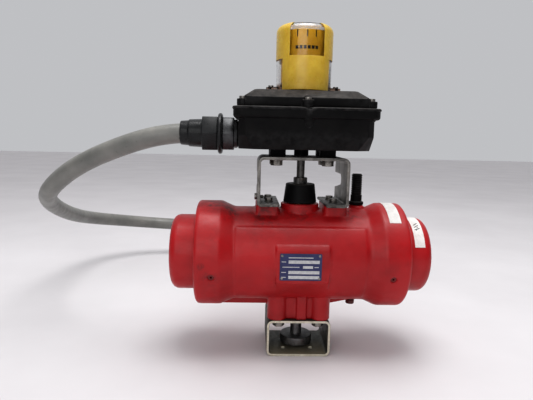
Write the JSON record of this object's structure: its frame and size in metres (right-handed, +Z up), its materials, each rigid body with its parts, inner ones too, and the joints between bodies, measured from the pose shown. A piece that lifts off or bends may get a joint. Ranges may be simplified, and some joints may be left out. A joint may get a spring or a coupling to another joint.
{
  "type": "pneumatic valve actuator",
  "caption": "Rack-and-pinion pneumatic quarter-turn actuator on a box mounting tube, with a bracketed switch box, domed position indicator, cable gland and flexible conduit.",
  "frame": {"origin": "on the shaft axis at the underside of the mounting tube, the centre of its floor bolt pattern", "axes": "+X along the cylinder towards the breather end, +Y to the back where the air ports are, +Z up the shaft to the indicator"},
  "size_m": [0.6005, 0.5488, 0.4044],
  "materials": {
    "red_enamel": "gloss enamel",
    "plated_sheet": "satin, weathered zinc plate",
    "tube_steel": "satin, dusty plated steel",
    "black_moulding": "satin black",
    "dark_fitting": "satin dark grey",
    "conduit_jacket": "satin grey jacket",
    "seal_rubber": "matte",
    "guide_plastic": "satin",
    "spring_steel": "satin",
    "shaft_steel": "satin",
    "bush_bronze": "satin",
    "cast_aluminium": "satin",
    "zinc_fastener": "satin, dull zinc plate",
    "navy_plate": "satin print",
    "white_label": "matte",
    "dark_plug": "satin",
    "brown_plug": "satin",
    "clear_dome": "gloss, clear",
    "yellow_mask": "gloss",
    "orange_drum": "satin",
    "cam_green": "satin",
    "cam_red": "satin"
  },
  "bodies": {
    "housing": {"actuator_body": "red_enamel", "left_end_cap": "red_enamel", "right_end_cap": "red_enamel", "end_cap_seals": "seal_rubber", "end_cap_retaining_rings": "spring_steel", "left_spring": "spring_steel", "right_spring": "spring_steel", "upper_bush": "bush_bronze", "lower_bush": "bush_bronze", "thrust_washer": "shaft_steel", "nameplate": "navy_plate", "paper_labels": "white_label", "wire_plugs": "dark_plug", "drain_plug": "brown_plug", "exhaust_breather": "black_moulding", "mounting_tube": "tube_steel", "tube_bolts": "zinc_fastener", "tube_bolt_washers": "zinc_fastener", "upper_bracket": "plated_sheet", "foot_bolts": "zinc_fastener", "foot_bolt_washers": "zinc_fastener", "earth_screw": "zinc_fastener", "box_bolts": "zinc_fastener", "box_bolt_washers": "zinc_fastener", "switch_box_base": "black_moulding", "switch_box_lid": "black_moulding", "lid_gasket": "seal_rubber", "lid_screws": "zinc_fastener", "closed_sensor": "black_moulding", "open_sensor": "black_moulding", "sensor_bracket": "zinc_fastener", "terminal_strip": "black_moulding", "indicator_dome": "clear_dome", "dome_screws": "zinc_fastener", "indicator_mask": "yellow_mask", "gland_body": "dark_fitting", "gland_ring": "dark_fitting", "gland_nut": "dark_fitting", "gland_locknut": "dark_fitting", "conduit": "conduit_jacket", "connector_body": "dark_fitting", "connector_nut": "dark_fitting", "connector_ring": "dark_fitting"},
    "drive_train": {"drive_shaft": "shaft_steel", "shaft_o_rings": "seal_rubber", "shaft_circlip": "spring_steel", "position_boot": "black_moulding", "output_coupling": "shaft_steel", "square_insert": "shaft_steel", "switch_spindle": "shaft_steel", "closed_cam": "cam_red", "open_cam": "cam_green", "indicator_drum": "orange_drum"},
    "left_piston_assembly": {"left_piston": "cast_aluminium", "left_piston_seal": "seal_rubber", "left_guide_band": "guide_plastic"},
    "right_piston_assembly": {"right_piston": "cast_aluminium", "right_piston_seal": "seal_rubber", "right_guide_band": "guide_plastic"}
  },
  "joints": [
    {"name": "valve_turn", "type": "hinge", "parent": "housing", "child": "drive_train", "pos_m": [0, 0, 0.124], "axis": [0, 0, 1], "range_deg": [0, 90], "stiffness_Nm_per_rad": 1, "springref_deg": -17.19},
    {"name": "right_piston_slide", "type": "slide", "parent": "housing", "child": "right_piston_assembly", "axis": [1, 0, 0], "range_m": [0, 0.0315], "deforming": ["right_spring"]},
    {"name": "left_piston_slide", "type": "slide", "parent": "housing", "child": "left_piston_assembly", "axis": [-1, 0, 0], "range_m": [0, 0.0315], "deforming": ["left_spring"]}
  ],
  "couplings": [
    {"joint": "right_piston_slide", "follows": "valve_turn", "m_per_rad": 0.02},
    {"joint": "left_piston_slide", "follows": "valve_turn", "m_per_rad": 0.02}
  ]
}
